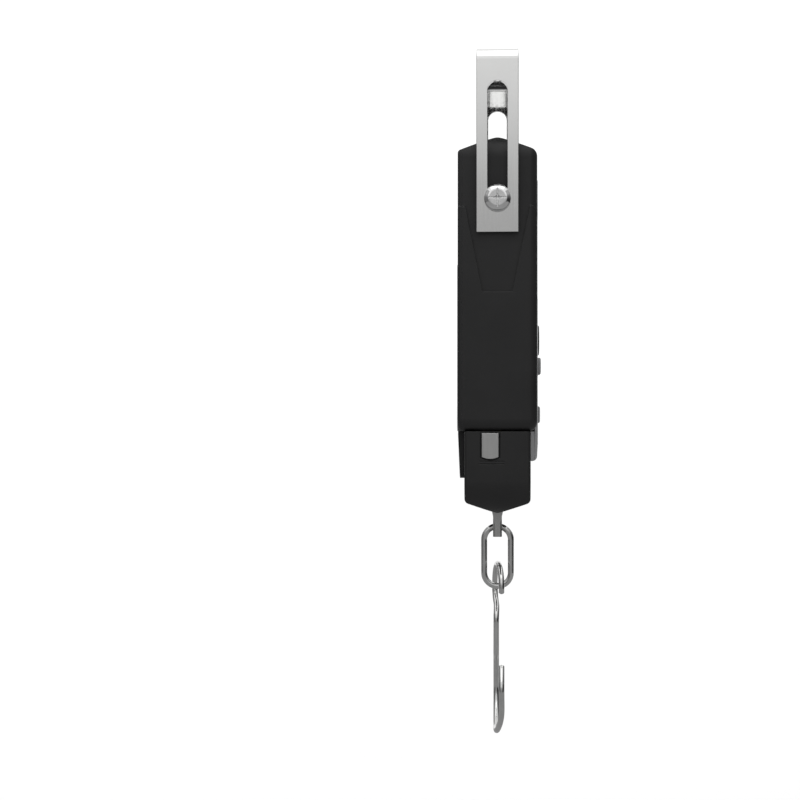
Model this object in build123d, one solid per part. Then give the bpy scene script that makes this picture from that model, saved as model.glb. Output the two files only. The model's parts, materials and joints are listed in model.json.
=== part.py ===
from build123d import *
import math
import os

# Hanging scale with a slotted strap handle, a pull-out tape measure and a wire hook.
# Millimetres. +Z up, the display faces -Y, width along X.
# Origin: centre of the underside of the handle's web, where the scale hangs from a hand or a peg.

# ---- driving dimensions: handle ----
STRAP_WIDTH = 19.0
STRAP_THICKNESS = 2.0
STRAP_SPAN = 80.0
STRAP_BOTTOM = -81.2
STRAP_BEND_R = 5.3
SLOT_WIDTH = 9.1
SLOT_TOP = -13.2
SLOT_END = -70.7
PIVOT_Z = SLOT_END + SLOT_WIDTH / 2
SCREW_R = 3.0
SCREW_HEAD_R = 6.0
SCREW_HEAD_H = 2.7
SCREW_TIP_X = 25.0
BUSH_FLANGE_R = 6.1
BUSH_FLANGE_T = 1.0
SLOT_PLAY = 0.1
PIVOT_PLAY = 0.05
FACE_PLAY = 0.1

# ---- driving dimensions: case ----
CASE_HALF_DEPTH = 18.0
CASE_HALF_WIDTH = 36.6
PANEL_RISE = 1.0
GABLE_APEX = -36.8
GABLE_SHOULDER = -44.0
CASE_BOTTOM = -171.0
CASE_TOP_R = 9.9
CASE_BOTTOM_R = 5.5
CASE_FRONT_R = 3.9
WALL = 2.0
PANEL_TOP = -68.7
NOTCH_BOTTOM = -108.0
PARTING_Y = 16.0
BOSS_R = 3.2
BOSS_X = 29.0
BOSS_TOP_Z = -52.0
BOSS_LOW_Z = -160.0

# ---- driving dimensions: nose ----
NOSE_HALF_DEPTH = 15.0
NOSE_HALF_WIDTH = 36.0
NOSE_SHOULDER = -203.5
NOSE_APEX = -208.9
NOSE_CORNER_R = 15.0
NOSE_WALL = 1.6

# ---- driving dimensions: front panel, display and keys ----
CROWN_Y = -18.9
CROWN_R = 560.0
FRONT_RECESS = 0.8
FRONT_HALF_WIDTH = 30.0
FRONT_TOP = -56.0
CHIN_HALF_WIDTH = 19.0
CHIN_BOTTOM = -185.3
WINDOW_HALF_WIDTH = 25.0
WINDOW_TOP = -72.0
WINDOW_BOTTOM = -110.0
KEY_TRAVEL = 0.8
KEY_PLAY = 0.25
# name: (x, z, width, height, y of the top face)
KEYS = {
    "hold_key": (0.0, -128.8, 22.0, 14.2, -19.5),
    "unit_key": (-20.0, -141.3, 13.0, 7.8, -19.8),
    "tare_key": (20.0, -141.3, 13.0, 7.8, -19.8),
    "power_key": (0.0, -163.7, 15.0, 7.8, -19.9),
}
BOARD_Y = -8.0
BOARD_T = 1.6
BOARD_TOP = -57.0
BOARD_BOTTOM = -155.0
BOARD_HALF_WIDTH = 30.0

# ---- driving dimensions: battery bay ----
CELL_R = 5.25
CELL_LENGTH = 44.5
CELL_X = 22.0
CELL_Y = 9.2
CELL_MID_Z = -126.5
WELL_HALF_WIDTH = 5.8
WELL_HALF_HEIGHT = 25.5
TRAY_WALL = 1.2
COVER_HALF_WIDTH = 31.0
COVER_TOP = -95.0
COVER_Y = 18.3
COVER_CHIN_HALF_WIDTH = 16.0
COVER_CHIN_BOTTOM = -193.2

# ---- driving dimensions: load path ----
YOKE_HALF_LENGTH = 34.3
YOKE_HALF = 5.0
LOAD_CELL_HALF_WIDTH = 12.0
LOAD_CELL_HALF_DEPTH = 6.0
LOAD_CELL_HEIGHT = 50.0
BAR_THICKNESS = 4.2
BAR_ROOT_THICKNESS = 5.2
BAR_WIDTH = 12.0
BAR_END = -221.2
BAR_HOLE_R = 2.4
BAR_HOLE_Z = -216.15
LINK_WIRE_R = 1.45
LINK_WIDTH = 15.5
LINK_TOP = -215.2
LINK_BOTTOM = -246.4
HOOK_WIRE_R = 1.35
HOOK_SHANK_Y = 0.6
HOOK_LAP_Y = -1.9
EYE_R = 10.55
BOWL_R = 18.15
BOWL_BOTTOM = -314.3

# ---- driving dimensions: tape measure ----
DRUM_X = -20.3
DRUM_Z = -187.0
DRUM_Y = 3.3
DRUM_R = 12.6
TAPE_WIDTH = 7.5
TAPE_T = 0.15
COIL_R = 13.0
TAB_TOP = -171.8
TAB_BOTTOM = -183.4
TAB_T = 0.8
TAPE_INNER_X = -8.6


def save(name, shape):
    export_step(shape, f"parts/{name}.step")


def box(x, y, z):
    """Box between two corners given as three (low, high) pairs."""
    size = [high - low for low, high in (x, y, z)]
    middle = [(low + high) / 2 for low, high in (x, y, z)]
    return Pos(*middle) * Box(*size)


def rod_x(radius, x0, x1, y=0.0, z=0.0):
    return Pos((x0 + x1) / 2, y, z) * Rot(0, 90, 0) * Cylinder(radius, abs(x1 - x0))


def rod_y(radius, y0, y1, x=0.0, z=0.0):
    return Pos(x, (y0 + y1) / 2, z) * Rot(90, 0, 0) * Cylinder(radius, abs(y1 - y0))


def rod_z(radius, z0, z1, x=0.0, y=0.0):
    return Pos(x, y, (z0 + z1) / 2) * Cylinder(radius, abs(z1 - z0))


def slab_yz(points, x0, x1, corners=()):
    """Prism along X from a polygon in the YZ plane; corners is a list of (index, radius)."""
    face = rounded_face([(0, y, z) for y, z in points], corners)
    return Pos(x0, 0, 0) * extrude(face, amount=x1 - x0, dir=(1, 0, 0))


def slab_xz(points, y0, y1, corners=()):
    """Prism along Y from a polygon in the XZ plane; corners is a list of (index, radius)."""
    face = rounded_face([(x, 0, z) for x, z in points], corners)
    return Pos(0, y0, 0) * extrude(face, amount=y1 - y0, dir=(0, 1, 0))


def rounded_face(points, corners):
    face = Face(Wire.make_polygon(points, close=True))
    for index, radius in corners:
        spot = Vector(*points[index])
        nearest = min(face.vertices(), key=lambda v: (Vector(v.X, v.Y, v.Z) - spot).length)
        face = face.fillet_2d(radius, [nearest])
    return face


def crown(height=0.0):
    """Solid behind the front panel's gently crowned surface, raised by height."""
    radius = CROWN_R + height
    return Pos(0, CROWN_Y + CROWN_R, -150) * Cylinder(radius, 320)


# ---------------------------------------------------------------- handle
def handle_strap():
    half, t, w = STRAP_SPAN / 2, STRAP_THICKNESS, STRAP_WIDTH / 2
    outer = [(-half, STRAP_BOTTOM), (-half, t), (half, t), (half, STRAP_BOTTOM)]
    inner = [(-half + t, STRAP_BOTTOM), (-half + t, 0), (half - t, 0), (half - t, STRAP_BOTTOM)]
    strap = slab_xz(outer, -w, w, [(1, STRAP_BEND_R), (2, STRAP_BEND_R)])
    strap -= slab_xz(inner, -w, w, [(1, STRAP_BEND_R - t), (2, STRAP_BEND_R - t)])
    r = SLOT_WIDTH / 2
    slot = box((-half - 1, half + 1), (-r, r), (SLOT_END + r, SLOT_TOP - r))
    slot += rod_x(r, -half - 1, half + 1, 0, SLOT_END + r)
    slot += rod_x(r, -half - 1, half + 1, 0, SLOT_TOP - r)
    strap -= slot
    rim = [e for e in strap.edges()
           if abs(abs(e.center().Y) - w) < 0.01 and abs(e.bounding_box().size.Y) < 0.01]
    return fillet(rim, 0.35)


def mirrored(make):
    """The left-hand piece and its mirror image, as one compound of two solids."""
    piece = make()
    return Compound(children=[piece, mirror(piece, about=Plane.YZ)])


def slot_bush():
    outside = -STRAP_SPAN / 2 - FACE_PLAY
    bush = rod_x(BUSH_FLANGE_R, outside - BUSH_FLANGE_T, outside, 0, PIVOT_Z)
    spool_end = -STRAP_SPAN / 2 + STRAP_THICKNESS
    bush += rod_x(SLOT_WIDTH / 2 - SLOT_PLAY, outside, spool_end, 0, PIVOT_Z)
    bush -= rod_x(SCREW_R + PIVOT_PLAY, outside - 2, spool_end + 1, 0, PIVOT_Z)
    return bush


def side_washer():
    outer = -STRAP_SPAN / 2 + STRAP_THICKNESS + FACE_PLAY
    inner = -CASE_HALF_WIDTH - FACE_PLAY
    washer = rod_x(BUSH_FLANGE_R, outer, inner, 0, PIVOT_Z)
    return washer - rod_x(SCREW_R + PIVOT_PLAY, outer - 1, inner + 1, 0, PIVOT_Z)


def handle_screw():
    seat = -STRAP_SPAN / 2 - 2 * FACE_PLAY - BUSH_FLANGE_T
    top = seat - SCREW_HEAD_H
    head = rod_x(SCREW_HEAD_R, top, seat, 0, PIVOT_Z)
    head = fillet(head.edges().filter_by(GeomType.CIRCLE).sort_by(Axis.X)[0], SCREW_HEAD_H - 0.2)
    blade = 0.65
    for turn in (0, 90):
        arm = Pos(top, 0, 0) * Box(1.7, 8.4, blade)
        tip = Pos(top + 0.8, 0, 0) * Box(2.2, 3.4, blade)
        head -= Pos(0, 0, PIVOT_Z) * Rot(turn, 0, 0) * (arm + tip)
    core = Pos(top + 1.0, 0, PIVOT_Z) * Rot(0, 90, 0) * Cone(1.1, 0.5, 2.2)
    head -= core
    return head + rod_x(SCREW_R, seat, -SCREW_TIP_X, 0, PIVOT_Z)


# ---------------------------------------------------------------- case
def case_profile(inset, depth_inset=None):
    """Side profile of the case, a box with a shallow gable, as points in (y, z)."""
    side = inset if depth_inset is None else depth_inset
    d = CASE_HALF_DEPTH - side
    slope = (GABLE_APEX - GABLE_SHOULDER) / CASE_HALF_DEPTH
    shoulder = GABLE_SHOULDER - inset + side * slope
    return [(-d, CASE_BOTTOM + inset), (-d, shoulder), (0, GABLE_APEX - inset), (d, shoulder),
            (d, CASE_BOTTOM + inset)]


def rounded_case(half_width, top, top_radius):
    """Case block of one width, its front and rear rims rounded."""
    gable = slab_yz(case_profile(0), -half_width, half_width, [(2, 2.0)])
    outline = [(-half_width, CASE_BOTTOM), (-half_width, top), (half_width, top), (half_width, CASE_BOTTOM)]
    corners = [(0, CASE_BOTTOM_R), (3, CASE_BOTTOM_R)]
    if top_radius:
        corners += [(1, top_radius), (2, top_radius)]
    block = gable & slab_xz(outline, -CASE_HALF_DEPTH, CASE_HALF_DEPTH, corners)
    front = block.faces().sort_by(Axis.Y)[0]
    block = fillet(front.edges(), CASE_FRONT_R)
    rear = block.faces().sort_by(Axis.Y)[-1]
    return fillet(rear.edges(), 1.6)


def side_notches():
    """The V-shaped recess in each raised side panel that the strap's leg lies in."""
    top_half, bottom_half = 14.9, 6.8
    points = [(-top_half, PANEL_TOP + 1), (-bottom_half, NOTCH_BOTTOM),
              (bottom_half, NOTCH_BOTTOM), (top_half, PANEL_TOP + 1)]
    wide = CASE_HALF_WIDTH + PANEL_RISE + 1
    notch = slab_yz(points, -wide, -CASE_HALF_WIDTH)
    return notch + mirror(notch, about=Plane.YZ)


def case_block():
    block = rounded_case(CASE_HALF_WIDTH, GABLE_APEX, CASE_TOP_R)
    panels = rounded_case(CASE_HALF_WIDTH + PANEL_RISE, PANEL_TOP, 0)
    wide, bevel = CASE_HALF_WIDTH + PANEL_RISE, 0.9
    wedge = slab_xz([(wide, PANEL_TOP - bevel), (wide + 1, PANEL_TOP - bevel), (wide + 1, PANEL_TOP + 1),
                     (wide - bevel - 0.2, PANEL_TOP + 1), (wide - bevel - 0.2, PANEL_TOP)], -30, 30)
    panels -= wedge + mirror(wedge, about=Plane.YZ)
    return block + panels - side_notches()


def cavity():
    """Inside of the closed case."""
    room = slab_yz(case_profile(WALL), -CASE_HALF_WIDTH + WALL, CASE_HALF_WIDTH - WALL)
    inner = CASE_HALF_WIDTH - WALL
    outline = [(-inner, CASE_BOTTOM), (-inner, GABLE_APEX), (inner, GABLE_APEX), (inner, CASE_BOTTOM)]
    depth = CASE_HALF_DEPTH
    return room & slab_xz(outline, -depth, depth, [(1, CASE_TOP_R - WALL), (2, CASE_TOP_R - WALL)])


BOSSES = [(x, z) for x in (-BOSS_X, BOSS_X) for z in (BOSS_TOP_Z, BOSS_LOW_Z)]


def front_panel_outline(gap=0.0):
    """Panel outline: a wide field that narrows to the chin at the bottom."""
    w, c = FRONT_HALF_WIDTH + gap, CHIN_HALF_WIDTH + gap
    points = [(-w, FRONT_TOP + gap), (w, FRONT_TOP + gap), (w, -150.0 - gap), (c, -172.0 - gap),
              (c - 3, CHIN_BOTTOM - gap), (-c + 3, CHIN_BOTTOM - gap), (-c, -172.0 - gap), (-w, -150.0 - gap)]
    corners = [(0, 7.0), (1, 7.0), (2, 8.0), (3, 8.0), (4, 6.0), (5, 6.0), (6, 8.0), (7, 8.0)]
    return points, corners


def front_shell(block):
    shell = block & box((-60, 60), (-30, PARTING_Y), (-200, 0))
    shell -= cavity() & box((-60, 60), (-30, PARTING_Y + 1), (-200, 0))
    points, corners = front_panel_outline(0.1)
    shell -= slab_xz(points, -CASE_HALF_DEPTH - 1, -CASE_HALF_DEPTH + FRONT_RECESS, corners)
    for x, z in BOSSES:
        shell += rod_y(BOSS_R, -CASE_HALF_DEPTH + WALL - 0.2, 13.0, x, z)
        shell -= rod_y(1.5, 0.0, 14.0, x, z)
    for side in (-1, 1):
        shell += rod_x(6.2, side * (YOKE_HALF_LENGTH + 0.1), side * (CASE_HALF_WIDTH - 1.0), 0, PIVOT_Z)
        shell -= rod_x(SCREW_R + 0.1, side * 30, side * 40, 0, PIVOT_Z)
    window = WINDOW_HALF_WIDTH - 1.0
    shell -= box((-window, window), (-20, -15), (WINDOW_BOTTOM + 1, WINDOW_TOP - 1))
    for x, z, width, height, _ in KEYS.values():
        shell -= key_block(x, z, width + 2 * KEY_PLAY, height + 2 * KEY_PLAY, -20, -15)
    shell -= bar_hole(0.5, CASE_BOTTOM - 1, CASE_BOTTOM + WALL + 1)
    for x, y in NOSE_SCREWS:
        shell -= rod_z(1.6, CASE_BOTTOM - 1, CASE_BOTTOM + WALL + 1, x, y)
    # thumb scallop above the tape's end tab
    shell -= rod_y(5.0, DRUM_Y - 4.6, DRUM_Y + 4.6, -CASE_HALF_WIDTH - 3.4, CASE_BOTTOM - 2.6)
    return shell


def rear_shell(block):
    lid = block & box((-60, 60), (PARTING_Y, 30), (-200, 0))
    inner = CASE_HALF_WIDTH - WALL - 0.15
    rim = slab_yz(case_profile(WALL + 0.15, 0), -inner, inner)
    outline = [(-inner, CASE_BOTTOM), (-inner, GABLE_APEX), (inner, GABLE_APEX), (inner, CASE_BOTTOM)]
    rim &= slab_xz(outline, 14.2, PARTING_Y + 0.2, [(1, CASE_TOP_R - WALL), (2, CASE_TOP_R - WALL)])
    rim -= box((-inner + 1.4, inner - 1.4), (0, 30), (CASE_BOTTOM + WALL + 1.6, GABLE_SHOULDER - WALL - 1.6))
    lid += rim
    for x, z in BOSSES:
        lid += rod_y(BOSS_R, 13.1, PARTING_Y + 0.2, x, z)
        lid -= rod_y(1.6, 12, 20, x, z)
        lid -= rod_y(2.9, screw_seat(z), 20, x, z)
    side = COVER_HALF_WIDTH + 0.15
    # sliding cover's recess, open at the bottom, with the battery door behind it
    lid -= box((-side, side), (COVER_Y - 1.4, 30), (-200, COVER_TOP + 0.15))
    door = CELL_X + WELL_HALF_WIDTH
    low, high = CELL_MID_Z - WELL_HALF_HEIGHT, CELL_MID_Z + WELL_HALF_HEIGHT
    for x0, x1 in ((-door, -CELL_X + WELL_HALF_WIDTH), (CELL_X - WELL_HALF_WIDTH, door)):
        lid -= box((x0, x1), (0, 30), (low, high))
    return lid


def front_panel():
    points, corners = front_panel_outline()
    back = -CASE_HALF_DEPTH + FRONT_RECESS
    panel = slab_xz(points, CROWN_Y - 1, back, corners)
    chin_points = [(-CHIN_HALF_WIDTH, CASE_BOTTOM - 0.3), (CHIN_HALF_WIDTH, CASE_BOTTOM - 0.3),
                   (CHIN_HALF_WIDTH - 3, CHIN_BOTTOM), (-CHIN_HALF_WIDTH + 3, CHIN_BOTTOM)]
    panel += slab_xz(chin_points, back - 0.5, -NOSE_HALF_DEPTH - 0.3, [(2, 6.0), (3, 6.0)])
    panel &= crown()
    side = [(back, CASE_BOTTOM + 6), (CROWN_Y - 1, CASE_BOTTOM + 6), (CROWN_Y - 1, CASE_BOTTOM),
            (CROWN_Y, CASE_BOTTOM), (CROWN_Y + 0.7, CHIN_BOTTOM), (-NOSE_HALF_DEPTH - 0.3, CHIN_BOTTOM),
            (-NOSE_HALF_DEPTH - 0.3, CASE_BOTTOM + 6)]
    panel &= slab_yz(side, -40, 40, [(4, 2.4)]) + box((-40, 40), (-25, -10), (CASE_BOTTOM + 5, 0))
    w = WINDOW_HALF_WIDTH
    panel -= slab_xz([(-w, WINDOW_TOP), (w, WINDOW_TOP), (w, WINDOW_BOTTOM), (-w, WINDOW_BOTTOM)],
                     -25, -10, [(0, 3), (1, 3), (2, 3), (3, 3)])
    for x, z, width, height, _ in KEYS.values():
        panel -= key_block(x, z, width + 2 * KEY_PLAY, height + 2 * KEY_PLAY, -25, -10)
    return panel


def display_window():
    w = WINDOW_HALF_WIDTH - 0.1
    top, bottom = WINDOW_TOP - 0.1, WINDOW_BOTTOM + 0.1
    lens = slab_xz([(-w, top), (w, top), (w, bottom), (-w, bottom)], -19, -CASE_HALF_DEPTH + FRONT_RECESS,
                   [(0, 2.9), (1, 2.9), (2, 2.9), (3, 2.9)])
    return lens & crown(-0.15)


def window_gasket():
    w = WINDOW_HALF_WIDTH - 1.2
    top, bottom = WINDOW_TOP - 1.2, WINDOW_BOTTOM + 1.2
    ring = box((-w, w), (-17.0, -15.9), (bottom, top))
    return ring - box((-w + 1.2, w - 1.2), (-20, -10), (bottom + 1.2, top - 1.2))


def key_block(x, z, width, height, y0, y1):
    """Rounded oblong key prism between two y values."""
    r = min(width, height) / 2 - 0.4
    points = [(x - width / 2, z - height / 2), (x - width / 2, z + height / 2),
              (x + width / 2, z + height / 2), (x + width / 2, z - height / 2)]
    return slab_xz(points, y0, y1, [(i, r) for i in range(4)])


def key_cap(x, z, width, height, top):
    cap = key_block(x, z, width, height, top, -15.6)
    face = cap.faces().sort_by(Axis.Y)[0]
    cap = fillet(face.edges(), 0.7)
    cap += key_block(x, z, width + 1.8, height + 0.6, -15.8, -15.0)
    return cap + rod_y(1.6, -15.1, SWITCH_TOP_Y - KEY_TRAVEL - 0.1, x, z)


SWITCH_TOP_Y = BOARD_Y - BOARD_T - 3.4


def key_switches():
    switches = []
    for x, z, *_ in KEYS.values():
        back = BOARD_Y - BOARD_T
        body = box((x - 3, x + 3), (back - 2.6, back), (z - 3, z + 3))
        switches.append(body + rod_y(1.7, SWITCH_TOP_Y, back - 2.5, x, z))
    return Compound(children=switches)


# ---------------------------------------------------------------- nose
NOSE_SCREWS = [(14.0, 9.5), (14.0, -9.5), (30.0, 0.0)]


def nose_solid(inset):
    d, w = NOSE_HALF_DEPTH - inset, NOSE_HALF_WIDTH - inset
    profile = [(-d, CASE_BOTTOM), (-d, NOSE_SHOULDER + inset), (0, NOSE_APEX + inset),
               (d, NOSE_SHOULDER + inset), (d, CASE_BOTTOM)]
    block = slab_yz(profile, -w, w, [(1, 2.5), (3, 2.5)] if inset == 0 else ())
    outline = [(-w, CASE_BOTTOM), (-w, NOSE_APEX + inset), (w, NOSE_APEX + inset), (w, CASE_BOTTOM)]
    r = NOSE_CORNER_R - inset
    return block & slab_xz(outline, -d, d, [(1, r), (2, r)])


def bar_hole(gap, z0, z1):
    half_w, half_t = BAR_WIDTH / 2 + gap, BAR_ROOT_THICKNESS / 2 + gap
    return box((-half_w, half_w), (-half_t, half_t), (z0, z1))


def nose_block():
    nose = nose_solid(0)
    uprights = [e for e in nose.edges()
                if abs(abs(e.center().Y) - NOSE_HALF_DEPTH) < 0.1
                and abs(abs(e.center().X) - NOSE_HALF_WIDTH) < 0.1]
    nose = fillet(uprights, 1.5)
    nose -= nose_solid(NOSE_WALL) & box((-50, 50), (-30, 30), (-220, CASE_BOTTOM + 1))
    for x, y in NOSE_SCREWS:
        post = rod_z(2.6, NOSE_SHOULDER, CASE_BOTTOM, x, y) & nose_solid(0.5)
        nose += post
        nose -= rod_z(1.25, CASE_BOTTOM - 8, CASE_BOTTOM + 1, x, y)
    for side in (DRUM_Y + 6.2, DRUM_Y - 6.2):
        # cheeks that carry the drum's axle, one each side of the drum
        cheek = box((DRUM_X - 4, DRUM_X + 4), (side - 0.7, side + 0.7), (-206, DRUM_Z + 5))
        nose += cheek & nose_solid(0.5)
    nose -= rod_y(1.55, DRUM_Y - 8, DRUM_Y + 8, DRUM_X, DRUM_Z)
    nose -= bar_hole(0.3, -215, -195)
    tab_half = TAPE_WIDTH / 2 + 0.8
    face = -NOSE_HALF_WIDTH
    window = (DRUM_Y - tab_half, DRUM_Y + tab_half)
    nose -= box((face - 1, face + 1.1), window, (TAB_BOTTOM + 1.2, CASE_BOTTOM + 1))
    nose -= rod_x(8.4, face - 1, face + 1.1, DRUM_Y, TAB_BOTTOM + 7.6) & box(
        (face - 2, face + 2), (DRUM_Y - tab_half, DRUM_Y + tab_half), (-190, TAB_BOTTOM + 1.4))
    slit_half = TAPE_WIDTH / 2 + 0.3
    blade_z = DRUM_Z + COIL_R + TAPE_T
    slit = (DRUM_Y - slit_half, DRUM_Y + slit_half)
    nose -= box((face - 1, face + 4), slit, (blade_z - 0.9, blade_z + 1.0))
    for step in range(2):
        # grip lines under the window
        z = TAB_BOTTOM - 1.1 - 1.2 * step
        nose -= box((face - 1, face + 0.3), (DRUM_Y - 6.4, DRUM_Y + 4.8), (z - 0.2, z + 0.2))
    return nose


def screw(x, y0, y1, z, head_r, head_h, shank_r):
    """Small cross-recess screw along Y: head from y1 outwards, point at y0."""
    body = rod_y(shank_r, y0, y1, x, z) + rod_y(head_r, y1, y1 + head_h, x, z)
    for turn in (0, 90):
        body -= Pos(x, y1 + head_h, z) * Rot(0, turn, 0) * Box(head_r * 1.2, 1.2, 0.6)
    return body


def screw_seat(z):
    """The two lower case screws sit deeper, behind the battery cover."""
    return 16.7 if z > COVER_TOP else 15.4


def case_screws():
    return Compound(children=[screw(x, 3.0, screw_seat(z), z, 2.7, 1.2, 1.45) for x, z in BOSSES])


def nose_screws():
    screws = []
    for x, y in NOSE_SCREWS:
        top = CASE_BOTTOM + WALL
        body = rod_z(1.2, top - 9, top, x, y) + rod_z(2.4, top, top + 1.4, x, y)
        for turn in (0, 90):
            body -= Pos(x, y, top + 1.4) * Rot(0, 0, turn) * Box(3.0, 0.6, 1.2)
        screws.append(body)
    return Compound(children=screws)


# ---------------------------------------------------------------- load path
YOKE_LOW = PIVOT_Z - YOKE_HALF
CELL_LOW = YOKE_LOW - LOAD_CELL_HEIGHT


def cross_yoke():
    length = (-YOKE_HALF_LENGTH, YOKE_HALF_LENGTH)
    yoke = box(length, (-YOKE_HALF, YOKE_HALF), (YOKE_LOW, PIVOT_Z + YOKE_HALF))
    long_edges = yoke.edges().filter_by(Axis.X)
    yoke = chamfer(long_edges, 0.8)
    for side in (-1, 1):
        yoke -= rod_x(SCREW_R, side * (SCREW_TIP_X - 1), side * 40, 0, PIVOT_Z)
    return yoke - rod_z(2.6, -90, -40)


def cell_bolt():
    top = PIVOT_Z + YOKE_HALF
    bolt = rod_z(2.5, YOKE_LOW - 9, top) + rod_z(4.2, top, top + 5)
    socket = extrude(Pos(0, 0, top + 2.4) * RegularPolygon(2.3, 6), amount=4)
    return bolt - socket


def load_cell():
    """S-shaped beam cell: two slots from opposite sides leave a sensing bridge between them."""
    w, d = LOAD_CELL_HALF_WIDTH, LOAD_CELL_HALF_DEPTH
    cell = box((-w, w), (-d, d), (CELL_LOW, YOKE_LOW))
    middle = (CELL_LOW + YOKE_LOW) / 2
    cell -= box((-w - 1, 7), (-d - 1, d + 1), (YOKE_LOW - 13.2, YOKE_LOW - 12))
    cell -= box((-7, w + 1), (-d - 1, d + 1), (CELL_LOW + 12, CELL_LOW + 13.2))
    for x in (-4.2, 4.2):
        cell -= rod_y(3.6, -d - 1, d + 1, x, middle)
    cell -= rod_z(2.5, YOKE_LOW - 10, YOKE_LOW + 1)
    return cell - rod_z(2.5, CELL_LOW - 1, CELL_LOW + 10)


def strain_gauges():
    middle = (CELL_LOW + YOKE_LOW) / 2
    gauges = []
    for side in (-1, 1):
        for offset in (-4.2, 4.2):
            y0 = side * LOAD_CELL_HALF_DEPTH
            depth = sorted((y0, y0 + side * 0.3))
            gauges.append(box((offset - 2.2, offset + 2.2), depth, (middle + 4, middle + 8.5)))
    return Compound(children=gauges)


BAR_TOP = CELL_LOW - 6.0


def draw_bar():
    """Flat bar that leaves the nose and carries the chain link; its root is thicker than its tongue."""
    root, tongue, w = BAR_ROOT_THICKNESS / 2, BAR_THICKNESS / 2, BAR_WIDTH / 2
    taper_top, taper_end = NOSE_APEX - 0.3, NOSE_APEX - 2.6
    profile = [(-root, BAR_TOP), (-root, taper_top), (-tongue, taper_end), (-tongue, BAR_END),
               (tongue, BAR_END), (tongue, taper_end), (root, taper_top), (root, BAR_TOP)]
    bar = slab_yz(profile, -w, w)
    edges = [e for e in bar.edges().filter_by(Axis.Z) if e.center().Z < taper_end]
    bar = fillet(edges, 1.2)
    bar -= rod_y(BAR_HOLE_R, -5, 5, 0, BAR_HOLE_Z)
    return bar + rod_z(2.5, BAR_TOP - 1, CELL_LOW + 9)


def draw_bar_nut():
    nut = extrude(Pos(0, 0, BAR_TOP + 1.0) * RegularPolygon(4.6, 6), amount=4)
    return nut - rod_z(2.5, BAR_TOP - 1, CELL_LOW + 1)


def nose_guide():
    """Plastic guide in the nose that keeps the draw bar central."""
    guide = bar_hole(1.0, -186, -182)
    return guide - bar_hole(0.15, -190, -180)


def chain_link():
    r = LINK_WIDTH / 2 - LINK_WIRE_R
    top, bottom = LINK_TOP - LINK_WIDTH / 2, LINK_BOTTOM + LINK_WIDTH / 2
    path = [Line((0, -r, bottom), (0, -r, top)),
            ThreePointArc((0, -r, top), (0, 0, top + r), (0, r, top)),
            Line((0, r, top), (0, r, bottom)),
            ThreePointArc((0, r, bottom), (0, 0, bottom - r), (0, -r, bottom))]
    link = None
    for piece in path:
        ring = sweep(Plane(origin=piece @ 0, z_dir=piece % 0) * Circle(LINK_WIRE_R), path=piece)
        link = ring if link is None else link + ring
    return link


def wire_hook():
    """Round wire hook: an open eye, a straight shank, a round bowl and a tip set to one side."""
    eye_z = LINK_BOTTOM + LINK_WIRE_R
    eye_start, eye_end = 193, -55
    lean = (HOOK_SHANK_Y - HOOK_LAP_Y) / (EYE_R * (1 + math.cos(math.radians(eye_end))))
    mid_y = HOOK_LAP_Y + lean * EYE_R

    def on_eye(degrees):
        x = EYE_R * math.cos(math.radians(degrees))
        return Vector(x, mid_y + lean * x, eye_z + EYE_R * math.sin(math.radians(degrees)))

    bowl_z = BOWL_BOTTOM + HOOK_WIRE_R + BOWL_R

    def on_bowl(degrees, y=HOOK_SHANK_Y):
        turn = math.radians(degrees)
        return Vector(BOWL_R * math.cos(turn), y, bowl_z + BOWL_R * math.sin(turn))

    eye = ThreePointArc(on_eye(eye_start), on_eye(70), on_eye(eye_end))
    shank_top = Vector(0, HOOK_SHANK_Y, eye_z - EYE_R - 6.5)
    neck = Spline(eye @ 1, shank_top, tangents=[eye % 1, (0, 0, -1)])
    bowl = ThreePointArc(on_bowl(48), on_bowl(-15), on_bowl(-78))
    shank_low = Vector(0, HOOK_SHANK_Y, bowl_z + BOWL_R + 5.0)
    shank = Line(shank_top, shank_low)
    throat = Spline(shank_low, bowl @ 0, tangents=[(0, 0, -1), bowl % 0])
    rise = [on_bowl(-120, HOOK_SHANK_Y - 0.9), on_bowl(-150, HOOK_LAP_Y + 0.15), on_bowl(180, HOOK_LAP_Y),
            on_bowl(130, HOOK_LAP_Y)]
    tip = Spline(bowl @ 1, *rise, tangents=[bowl % 1, (0.70, 0, 0.72)])
    path = Wire([eye.edge(), neck.edge(), shank.edge(), throat.edge(), bowl.edge(), tip.edge()])
    wire = sweep(Plane(origin=path @ 0, z_dir=path % 0) * Circle(HOOK_WIRE_R), path=path)
    ends = [f for f in wire.faces() if f.geom_type == GeomType.PLANE]
    return chamfer([e for f in ends for e in f.edges()], 0.5)


# ---------------------------------------------------------------- electronics
def main_board():
    width = (-BOARD_HALF_WIDTH, BOARD_HALF_WIDTH)
    board = box(width, (BOARD_Y - BOARD_T, BOARD_Y), (BOARD_BOTTOM, BOARD_TOP))
    for x, z in BOARD_SCREWS:
        board -= rod_y(1.3, -12, -5, x, z)
    return board


BOARD_SCREWS = [(x, z) for x in (-26.0, 26.0) for z in (-61.0, -151.0)]


def board_screws():
    return Compound(children=[screw(x, -14.0, BOARD_Y, z, 2.2, 1.2, 1.2) for x, z in BOARD_SCREWS])


def lcd_glass():
    return box((-22.5, 22.5), (-15.7, -13.2), (-106.0, -76.0))


def lcd_frame():
    frame = box((-24.5, 24.5), (-15.2, BOARD_Y - BOARD_T), (-108.0, -74.0))
    frame -= box((-22.6, 22.6), (-20, -13.1), (-106.1, -75.9))
    return frame - box((-20, 20), (-12, -5), (-104, -78))


def controller_chip():
    return box((-5, 5), (BOARD_Y, BOARD_Y + 1.4), (-148, -138))


def buzzer():
    return rod_y(4.5, BOARD_Y, BOARD_Y + 4.5, -17, -146) - rod_y(0.8, BOARD_Y + 3, BOARD_Y + 5, -17, -146)


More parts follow.
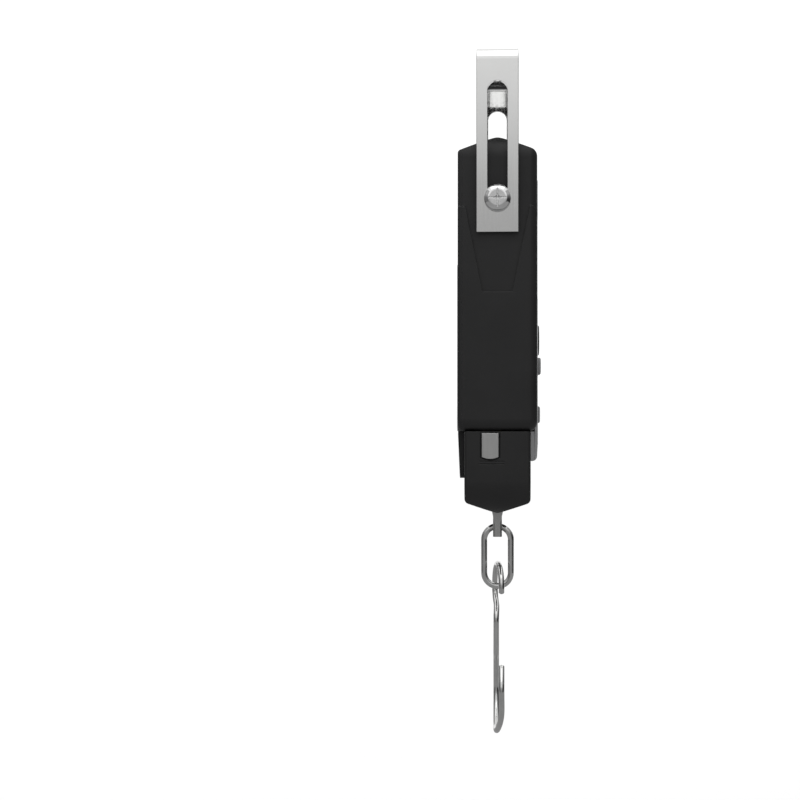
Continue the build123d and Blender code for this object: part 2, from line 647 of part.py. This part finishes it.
def battery_tray():
    low, high = CELL_MID_Z - WELL_HALF_HEIGHT, CELL_MID_Z + WELL_HALF_HEIGHT
    side = CELL_X + WELL_HALF_WIDTH + TRAY_WALL
    tray = box((-side, side), (14.7, 15.9), (low - TRAY_WALL, high + TRAY_WALL))
    wells = []
    for x in (-CELL_X, CELL_X):
        w = WELL_HALF_WIDTH + TRAY_WALL
        tray += box((x - w, x + w), (CELL_Y - CELL_R - 1.6, 15.9), (low - TRAY_WALL, high + TRAY_WALL))
        width = (x - WELL_HALF_WIDTH, x + WELL_HALF_WIDTH)
        wells.append(box(width, (CELL_Y - CELL_R - 0.4, 20), (low, high)))
    for well in wells:
        tray -= well
    return tray


def batteries():
    cells = []
    for x, up in ((-CELL_X, 1), (CELL_X, -1)):
        low, high = CELL_MID_Z - CELL_LENGTH / 2, CELL_MID_Z + CELL_LENGTH / 2
        can = rod_z(CELL_R, low + 0.8, high - 0.8, x, CELL_Y)
        end = high - 0.8 if up > 0 else low
        cells.append(can + rod_z(1.9, end - 0.1, end + 0.9, x, CELL_Y))
    return Compound(children=cells)


def battery_contacts():
    contacts = []
    low, high = CELL_MID_Z - WELL_HALF_HEIGHT, CELL_MID_Z + WELL_HALF_HEIGHT
    for x in (-CELL_X, CELL_X):
        for z0, z1 in ((low, low + 0.5), (high - 0.5, high)):
            contacts.append(box((x - 4.5, x + 4.5), (5.2, 13.5), (z0, z1)))
    return Compound(children=contacts)


def battery_cover():
    side = COVER_HALF_WIDTH
    inner = COVER_Y - 1.3
    cover = slab_xz([(-side, COVER_TOP), (side, COVER_TOP), (side, CASE_BOTTOM), (-side, CASE_BOTTOM)],
                    inner, COVER_Y, [(0, 3), (1, 3), (2, 5), (3, 5)])
    c = COVER_CHIN_HALF_WIDTH
    low_face = COVER_Y - 0.85
    profile = [(inner, CASE_BOTTOM + 3), (COVER_Y, CASE_BOTTOM + 3), (COVER_Y, CASE_BOTTOM - 2),
               (low_face, COVER_CHIN_BOTTOM), (NOSE_HALF_DEPTH + 0.5, COVER_CHIN_BOTTOM),
               (NOSE_HALF_DEPTH + 0.5, CASE_BOTTOM - 0.4), (inner, CASE_BOTTOM - 0.4)]
    chin = slab_yz(profile, -c, c)
    corner_edges = [e for e in chin.edges().filter_by(Axis.Y) if e.center().Z < COVER_CHIN_BOTTOM + 1]
    cover += fillet(corner_edges, 4.0)
    for step in range(5):
        # thumb ribs
        z = -104.0 - 2.2 * step
        cover -= box((-9 + step, 9 - step), (COVER_Y - 0.4, COVER_Y + 1), (z - 0.5, z + 0.5))
    return cover


# ---------------------------------------------------------------- tape measure
def tape_axle():
    return rod_y(1.5, DRUM_Y - 6.9, DRUM_Y + 6.9, DRUM_X, DRUM_Z)


def tape_drum():
    half = TAPE_WIDTH / 2
    drum = rod_y(9.6, DRUM_Y - half, DRUM_Y + half, DRUM_X, DRUM_Z)
    for y0 in (DRUM_Y - half - 1.0, DRUM_Y + half + 0.15):
        drum += rod_y(DRUM_R, y0, y0 + 0.85, DRUM_X, DRUM_Z)
    drum += rod_y(9.6, DRUM_Y - half - 0.3, DRUM_Y + half + 0.3, DRUM_X, DRUM_Z)
    drum -= rod_y(8.4, DRUM_Y - half, DRUM_Y + half + 2, DRUM_X, DRUM_Z)
    drum += rod_y(3.0, DRUM_Y - half - 0.2, DRUM_Y + half + 1.0, DRUM_X, DRUM_Z)
    return drum - rod_y(1.55, DRUM_Y - 8, DRUM_Y + 8, DRUM_X, DRUM_Z)


def tape_coil():
    half = TAPE_WIDTH / 2
    coil = rod_y(COIL_R - 0.05, DRUM_Y - half, DRUM_Y + half, DRUM_X, DRUM_Z)
    return coil - rod_y(9.6, DRUM_Y - 9, DRUM_Y + 9, DRUM_X, DRUM_Z)


def tape_spring():
    """Flat spiral spring between the hub and the drum's rim."""
    turns = None
    for outer in (8.0, 6.6, 5.2):
        ring = rod_y(outer, DRUM_Y - 3.6, DRUM_Y + 3.6, DRUM_X, DRUM_Z)
        ring -= rod_y(outer - 0.4, DRUM_Y - 9, DRUM_Y + 9, DRUM_X, DRUM_Z)
        turns = ring if turns is None else turns + ring
    anchor = box((DRUM_X + 3.0, DRUM_X + 8.4), (DRUM_Y - 3.6, DRUM_Y + 3.6), (DRUM_Z - 0.3, DRUM_Z + 0.3))
    return turns + anchor


def blade_span():
    low = DRUM_Z + COIL_R
    return low + 0.02, low + 0.02 + TAPE_T


def tape_blade():
    low, high = blade_span()
    half = TAPE_WIDTH / 2
    return box((-NOSE_HALF_WIDTH + 0.3, TAPE_INNER_X), (DRUM_Y - half, DRUM_Y + half), (low, high))


def tape_end_tab():
    half = TAPE_WIDTH / 2
    outer = -NOSE_HALF_WIDTH - 0.5
    points = [(DRUM_Y - half, TAB_TOP), (DRUM_Y + half, TAB_TOP),
              (DRUM_Y + half, TAB_BOTTOM), (DRUM_Y - half, TAB_BOTTOM)]
    plate = slab_yz(points, outer, outer + TAB_T)
    plate &= rod_x(8.2, outer - 1, outer + 2, DRUM_Y, TAB_BOTTOM + 8.2) + box(
        (outer - 1, outer + 2), (-20, 20), (TAB_BOTTOM + 4, TAB_TOP + 1))
    _, top = blade_span()
    return plate + box((outer + 0.2, outer + 3.0), (DRUM_Y - 3, DRUM_Y + 3), (top, top + 0.4))


def tape_rivets():
    low, top = blade_span()
    x = -NOSE_HALF_WIDTH + 1.6
    return Compound(children=[rod_z(0.6, top + 0.4, top + 0.6, x, DRUM_Y + y) for y in (-1.6, 1.6)])


os.makedirs("parts", exist_ok=True)
block = case_block()
save("handle_strap", handle_strap())
save("slot_bushes", mirrored(slot_bush))
save("side_washers", mirrored(side_washer))
save("handle_screws", mirrored(handle_screw))
save("front_shell", front_shell(block))
save("rear_shell", rear_shell(block))
for make in (front_panel, display_window, window_gasket, nose_block, nose_guide, case_screws, nose_screws,
             cross_yoke, cell_bolt, load_cell, strain_gauges, draw_bar, draw_bar_nut, chain_link, wire_hook,
             main_board, board_screws, lcd_glass, lcd_frame, controller_chip, buzzer, key_switches,
             battery_tray, batteries, battery_contacts, battery_cover,
             tape_axle, tape_drum, tape_coil, tape_spring, tape_blade, tape_end_tab, tape_rivets):
    save(make.__name__, make())
for name, sizes in KEYS.items():
    save(name, key_cap(*sizes))
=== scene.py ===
import json

import bpy
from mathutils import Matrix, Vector


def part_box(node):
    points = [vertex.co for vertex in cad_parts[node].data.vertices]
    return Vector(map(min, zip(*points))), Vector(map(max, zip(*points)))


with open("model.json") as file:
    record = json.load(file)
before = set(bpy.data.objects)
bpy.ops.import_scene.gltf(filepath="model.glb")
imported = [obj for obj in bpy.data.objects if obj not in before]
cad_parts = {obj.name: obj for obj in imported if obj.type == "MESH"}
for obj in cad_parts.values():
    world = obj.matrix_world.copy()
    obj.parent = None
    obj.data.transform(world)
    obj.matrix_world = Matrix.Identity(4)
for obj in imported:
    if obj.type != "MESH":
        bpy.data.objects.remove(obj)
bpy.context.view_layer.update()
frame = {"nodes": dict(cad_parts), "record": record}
nodes = frame["nodes"]

# ---- places read from the frame, in metres ----
strap_half_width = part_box("handle_strap")[1].x
hook_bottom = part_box("wire_hook")[0].z


# ---------------------------------------------------------------- node helpers
class Recipe:
    """A material under construction: a Principled shader plus short calls for the nodes that feed it."""

    def __init__(self, name, roughness=0.5, metallic=0.0, **sockets):
        self.material = bpy.data.materials.new(name)
        self.material.use_nodes = True
        self.tree = self.material.node_tree
        self.shader = self.tree.nodes["Principled BSDF"]
        self.shader.inputs["Roughness"].default_value = roughness
        self.shader.inputs["Metallic"].default_value = metallic
        for socket, value in sockets.items():
            self.shader.inputs[socket.replace("_", " ")].default_value = value
        self.place = self.node("ShaderNodeTexCoord").outputs["Object"]

    def node(self, kind, **settings):
        made = self.tree.nodes.new(kind)
        for key, value in settings.items():
            setattr(made, key, value)
        return made

    def link(self, source, target):
        self.tree.links.new(source, target)

    def stretched(self, scale):
        """Object coordinates scaled by (x, y, z), for grain that runs one way."""
        mapping = self.node("ShaderNodeMapping")
        mapping.inputs["Scale"].default_value = scale
        self.link(self.place, mapping.inputs["Vector"])
        return mapping.outputs["Vector"]

    def noise(self, scale, detail=4.0, rough=0.55, place=None):
        made = self.node("ShaderNodeTexNoise")
        made.inputs["Scale"].default_value = scale
        made.inputs["Detail"].default_value = detail
        made.inputs["Roughness"].default_value = rough
        self.link(place or self.place, made.inputs["Vector"])
        return made.outputs["Fac"]

    def spread(self, value, low, high, start=0.3, end=0.7):
        """Maps value from start..end to low..high."""
        made = self.node("ShaderNodeMapRange")
        for socket, number in (("From Min", start), ("From Max", end), ("To Min", low), ("To Max", high)):
            made.inputs[socket].default_value = number
        self.link(value, made.inputs["Value"])
        return made.outputs["Result"]

    def mix(self, factor, first, second):
        """Colour between first and second, each a colour or an output."""
        made = self.node("ShaderNodeMix", data_type="RGBA")
        self.link(factor, made.inputs["Factor"])
        for socket, value in ((made.inputs[6], first), (made.inputs[7], second)):
            if isinstance(value, tuple):
                socket.default_value = (*value, 1.0)
            else:
                self.link(value, socket)
        return made.outputs[2]

    def math(self, operation, first, second=None):
        made = self.node("ShaderNodeMath", operation=operation)
        self.link(first, made.inputs[0])
        if isinstance(second, (int, float)):
            made.inputs[1].default_value = second
        elif second is not None:
            self.link(second, made.inputs[1])
        return made.outputs[0]

    def edges(self, radius, start=0.02, end=0.25):
        """0 on flat faces and 1 along worn edges, from how far a bevel turns the normal."""
        bevel = self.node("ShaderNodeBevel", samples=6)
        bevel.inputs["Radius"].default_value = radius
        geometry = self.node("ShaderNodeNewGeometry")
        dot = self.node("ShaderNodeVectorMath", operation="DOT_PRODUCT")
        self.link(bevel.outputs["Normal"], dot.inputs[0])
        self.link(geometry.outputs["Normal"], dot.inputs[1])
        return self.spread(self.math("SUBTRACT", dot.outputs["Value"], 1.0), 0.0, 1.0, -start, -end)

    def color(self, value):
        self.link(value, self.shader.inputs["Base Color"])

    def roughness(self, value):
        self.link(value, self.shader.inputs["Roughness"])

    def bump(self, height, strength, distance, bevel_radius=0.0):
        bump = self.node("ShaderNodeBump")
        bump.inputs["Strength"].default_value = strength
        bump.inputs["Distance"].default_value = distance
        self.link(height, bump.inputs["Height"])
        if bevel_radius:
            bevel = self.node("ShaderNodeBevel", samples=6)
            bevel.inputs["Radius"].default_value = bevel_radius
            self.link(bevel.outputs["Normal"], bump.inputs["Normal"])
        self.link(bump.outputs["Normal"], self.shader.inputs["Normal"])


# ---------------------------------------------------------------- materials
def moulded_plastic(name, base, worn, roughness=0.42, grain=5200.0, bevel=0.0004, depth=0.00003,
                    patch=0.14):
    """Injection-moulded plastic with a fine spark-eroded grain, faint flow patches and burnished edges."""
    m = Recipe(name, roughness=roughness, Specular_IOR_Level=0.30)
    patches = m.noise(38.0, detail=3.0)
    tone = m.mix(m.spread(patches, 0.0, 1.0), tuple(c * (1.0 - patch) for c in base),
                 tuple(c * (1.0 + patch) for c in base))
    edge = m.math("MULTIPLY", m.edges(0.0006), m.spread(m.noise(260.0), 0.15, 0.75))
    m.color(m.mix(edge, tone, worn))
    fine = m.noise(grain, detail=2.0, rough=0.6)
    smears = m.noise(90.0, detail=5.0)
    rough = m.math("ADD", m.spread(smears, roughness - 0.05, roughness + 0.07), m.spread(fine, -0.03, 0.03))
    m.roughness(m.math("SUBTRACT", rough, m.math("MULTIPLY", edge, 0.12)))
    m.bump(fine, 0.35, depth, bevel)
    return m.material


def brushed_metal(name, base, direction, roughness=0.3, bevel=0.0003, tone=0.06, depth=0.000012):
    """Sheet or bar steel with fine draw lines along one direction and small handling marks."""
    m = Recipe(name, roughness=roughness, metallic=1.0)
    lines = m.noise(1.0, detail=3.0, rough=0.65, place=m.stretched(direction))
    clouds = m.noise(42.0, detail=4.0)
    dark = tuple(c * (1.0 - tone) for c in base)
    light = tuple(min(1.0, c * (1.0 + tone)) for c in base)
    m.color(m.mix(m.spread(m.math("ADD", m.math("MULTIPLY", lines, 0.6), m.math("MULTIPLY", clouds, 0.4)),
                           0.0, 1.0), dark, light))
    marks = m.spread(m.noise(700.0, detail=6.0, rough=0.7), 0.0, 0.08, 0.52, 0.75)
    m.roughness(m.math("ADD", m.spread(lines, roughness - 0.05, roughness + 0.06), marks))
    m.bump(lines, 0.3, depth, bevel)
    return m.material


def bright_metal(name, base, roughness=0.12, grain=900.0, bevel=0.0002, depth=0.00001):
    """Plated or tumbled metal: bright, with soft ripples and scattered fine scuffs."""
    m = Recipe(name, roughness=roughness, metallic=1.0)
    ripples = m.noise(170.0, detail=2.0)
    scuffs = m.noise(grain, detail=6.0, rough=0.7)
    dark, light = tuple(c * 0.92 for c in base), tuple(min(1.0, c * 1.06) for c in base)
    m.color(m.mix(m.spread(ripples, 0.0, 1.0), dark, light))
    m.roughness(m.math("ADD", m.spread(ripples, roughness - 0.03, roughness + 0.04),
                       m.spread(scuffs, 0.0, 0.12, 0.5, 0.75)))
    m.bump(ripples, 0.15, depth, bevel)
    return m.material


def clear_window(name):
    m = Recipe(name, roughness=0.06, Transmission_Weight=0.85, IOR=1.49, Coat_Weight=0.5)
    smears = m.noise(60.0, detail=4.0)
    m.color(m.mix(m.spread(smears, 0.0, 1.0), (0.55, 0.60, 0.60), (0.66, 0.70, 0.70)))
    m.roughness(m.spread(m.noise(400.0, detail=5.0), 0.04, 0.12))
    m.bump(smears, 0.05, 0.00001)
    return m.material


def build_materials():
    black = (0.0078, 0.0078, 0.0081)
    worn_black = (0.024, 0.024, 0.025)
    return {
        "stainless_strap": brushed_metal("stainless_strap", (0.66, 0.66, 0.655), (2600, 2600, 26), 0.10,
                                         tone=0.03, depth=0.000003),
        # Much brighter copy of the strap steel for the strip's inner faces: a painted reflection, not a
        # different metal.
        "strap_inside_painted_reflection": brushed_metal("strap_inside_painted_reflection", (0.93, 0.93, 0.925), (2600, 2600, 26), 0.04,
                                      tone=0.02, depth=0.000001),
        "polished_steel": bright_metal("polished_steel", (0.72, 0.72, 0.72), 0.10),
        "black_nylon": moulded_plastic("black_nylon", black, worn_black, 0.5),
        "black_case": moulded_plastic("black_case", black, worn_black, 0.46),
        "silver_panel": moulded_plastic("silver_panel", (0.25, 0.252, 0.256), (0.34, 0.34, 0.34), 0.4,
                                        patch=0.035),
        "window_glass": clear_window("window_glass"),
        "rubber_seal": moulded_plastic("rubber_seal", (0.012, 0.012, 0.012), (0.03, 0.03, 0.03), 0.7),
        "zinc_steel": bright_metal("zinc_steel", (0.60, 0.60, 0.57), 0.26),
        "raw_aluminium": brushed_metal("raw_aluminium", (0.75, 0.75, 0.76), (24, 2400, 2400), 0.35),
        "gauge_foil": bright_metal("gauge_foil", (0.80, 0.48, 0.18), 0.3),
        "brushed_bar": brushed_metal("brushed_bar", (0.46, 0.46, 0.455), (2200, 2200, 30), 0.28),
        "bright_wire": bright_metal("bright_wire", (0.58, 0.58, 0.575), 0.12),
        "circuit_board": moulded_plastic("circuit_board", (0.012, 0.11, 0.045), (0.03, 0.2, 0.1), 0.3),
        "lcd_glass": moulded_plastic("lcd_glass", (0.26, 0.31, 0.235), (0.3, 0.35, 0.28), 0.12,
                                     depth=0.000004, patch=0.02),
        "white_plastic": moulded_plastic("white_plastic", (0.7, 0.7, 0.68), (0.8, 0.8, 0.78), 0.45),
        "chip_plastic": moulded_plastic("chip_plastic", (0.02, 0.02, 0.022), (0.06, 0.06, 0.06), 0.5),
        "battery_jacket": moulded_plastic("battery_jacket", (0.05, 0.10, 0.22), (0.2, 0.25, 0.35), 0.22),
        "nickel_contact": bright_metal("nickel_contact", (0.66, 0.63, 0.56), 0.2),
        "grey_nylon": moulded_plastic("grey_nylon", (0.22, 0.22, 0.22), (0.3, 0.3, 0.3), 0.5),
        "tape_steel": moulded_plastic("tape_steel", (0.62, 0.43, 0.04), (0.7, 0.6, 0.3), 0.3),
        "spring_steel": bright_metal("spring_steel", (0.30, 0.32, 0.37), 0.25),
        "tab_steel": brushed_metal("tab_steel", (0.45, 0.45, 0.445), (2400, 2400, 40), 0.36),
        "black_rubber_key": moulded_plastic("black_rubber_key", (0.014, 0.014, 0.014), (0.04, 0.04, 0.04),
                                            0.55),
        "grey_key": moulded_plastic("grey_key", (0.13, 0.13, 0.133), (0.2, 0.2, 0.2), 0.5, patch=0.05),
    }


STRAP_BEND = 0.004


def paint_nodes(materials):
    slots = {part["node"]: part["material_slot"] for part in frame["record"]["subparts"]}
    for name, node in nodes.items():
        node.data.materials.clear()
        node.data.materials.append(materials[slots[name]])
    # The strip is brushed on its outer side. Its inner side gets a mirror-smooth, much brighter copy of the
    # strap steel, and that extra brightness is a painted reflection of the bright background.
    strap = nodes["handle_strap"].data
    strap.materials.append(materials["strap_inside_painted_reflection"])
    for face in strap.polygons:
        inward_side = face.normal.x * face.center.x < 0 and abs(face.normal.x) > 0.9
        if inward_side or face.normal.z < -0.9 and abs(face.center.x) < strap_half_width - STRAP_BEND:
            face.material_index = 1


# ---------------------------------------------------------------- studio
WORLD_BRIGHTNESS = 1.12
FLOOR_HALF = 60.0
FLOOR_GAP = 0.08
CARD_BACK_X = -1.6
CARD_FAR_X = 2.2
CARD_SIDE_Y = 1.1
CARD_BEHIND_HALF = 2.0
CARD_LOW_Z = -1.4
CARD_HIGH_Z = 1.0


def flag_card(name, corners, stops):
    """A card beside the camera's view that only reflections see; stops are (height, brightness) going up."""
    mesh = bpy.data.meshes.new(name)
    mesh.from_pydata(corners, [], [(0, 1, 2, 3)])
    card = bpy.data.objects.new(name, mesh)
    bpy.context.scene.collection.objects.link(card)
    m = Recipe(name)
    height = m.node("ShaderNodeSeparateXYZ")
    m.link(m.place, height.inputs[0])
    low, high = stops[0][0], stops[-1][0]
    ramp = m.node("ShaderNodeValToRGB")
    ramp.color_ramp.interpolation = "EASE"
    for index, (level, brightness) in enumerate(stops):
        place = (level - low) / (high - low)
        if index < 2:
            stop = ramp.color_ramp.elements[index]
            stop.position = place
        else:
            stop = ramp.color_ramp.elements.new(place)
        stop.color = (brightness, brightness, brightness, 1.0)
    m.link(m.spread(height.outputs["Z"], 0.0, 1.0, low, high), ramp.inputs["Fac"])
    glow = m.node("ShaderNodeEmission")
    m.link(ramp.outputs["Color"], glow.inputs["Color"])
    m.link(glow.outputs["Emission"], m.tree.nodes["Material Output"].inputs["Surface"])
    mesh.materials.append(m.material)
    card.visible_camera = False
    card.visible_diffuse = False
    card.visible_shadow = False
    card.visible_transmission = False


def upright_card(name, first, second, stops):
    """An upright card between two (x, y) places, seen only in reflections."""
    corners = [(*first, CARD_LOW_Z), (*second, CARD_LOW_Z), (*second, CARD_HIGH_Z), (*first, CARD_HIGH_Z)]
    flag_card(name, corners, stops)


def level_card(name, low, high, height, brightness):
    """A level card of one brightness between two (x, y) corners, seen only in reflections."""
    corners = [(low[0], low[1], height), (high[0], low[1], height),
               (high[0], high[1], height), (low[0], high[1], height)]
    flag_card(name, corners, [(height - 0.1, brightness), (height + 0.1, brightness)])


def studio():
    scene = bpy.context.scene
    world = bpy.data.worlds.new("studio")
    world.use_nodes = True
    world.node_tree.nodes["Background"].inputs["Color"].default_value = (1.0, 1.0, 1.0, 1.0)
    world.node_tree.nodes["Background"].inputs["Strength"].default_value = WORLD_BRIGHTNESS
    scene.world = world
    scene.view_settings.view_transform = "Standard"
    mesh = bpy.data.meshes.new("floor")
    half, level = FLOOR_HALF, hook_bottom - FLOOR_GAP
    corners = [(-half, -half, level), (half, -half, level), (half, half, level), (-half, half, level)]
    mesh.from_pydata(corners, [], [(0, 1, 2, 3)])
    floor = bpy.data.objects.new("floor", mesh)
    scene.collection.objects.link(floor)
    m = Recipe("pale_floor", roughness=1.0, Specular_IOR_Level=0.0)
    m.color(m.mix(m.spread(m.noise(3.0), 0.0, 1.0), (0.90, 0.90, 0.90), (0.92, 0.92, 0.92)))
    mesh.materials.append(m.material)
    upright_card("card_behind", (CARD_BACK_X, -CARD_BEHIND_HALF), (CARD_BACK_X, CARD_BEHIND_HALF),
                 [(-0.7, 0.3), (-0.25, 0.34), (0.08, 0.51), (0.34, 0.99), (0.6, 1.1)])
    upright_card("card_front_side", (CARD_BACK_X, -CARD_SIDE_Y), (CARD_FAR_X, -CARD_SIDE_Y),
                 [(-0.6, 0.02), (-0.1, 0.04), (0.1, 0.12), (0.5, 0.45)])
    upright_card("card_rear_side", (CARD_BACK_X, CARD_SIDE_Y), (CARD_FAR_X, CARD_SIDE_Y),
                 [(-0.6, 0.16), (0.0, 0.2), (0.5, 0.5)])
    level_card("card_below", (-2.0, -2.0), (0.7, 2.0), level + 0.002, 0.36)
    level_card("card_top", (-1.6, -0.8), (0.3, 0.8), 1.2, 1.9)


# ---------------------------------------------------------------- camera
CAMERA_DISTANCE = 0.760
CAMERA_HEIGHT = -0.1568
CAMERA_LENS = 72.0
CAMERA_SENSOR = 36.0
# The object hangs right of the frame's centre, so the camera looks this far to its left.
AIM_LEFT = 0.0439 + 0.0024


def camera():
    data = bpy.data.cameras.new("camera")
    data.lens = CAMERA_LENS
    data.sensor_width = CAMERA_SENSOR
    data.clip_start = 0.01
    eye = bpy.data.objects.new("camera", data)
    eye.location = (-CAMERA_DISTANCE, 0.0, CAMERA_HEIGHT)
    aim = Vector((CAMERA_DISTANCE, AIM_LEFT, 0.0))
    eye.rotation_euler = aim.to_track_quat("-Z", "Y").to_euler()
    bpy.context.scene.collection.objects.link(eye)
    bpy.context.scene.camera = eye


paint_nodes(build_materials())
studio()
camera()
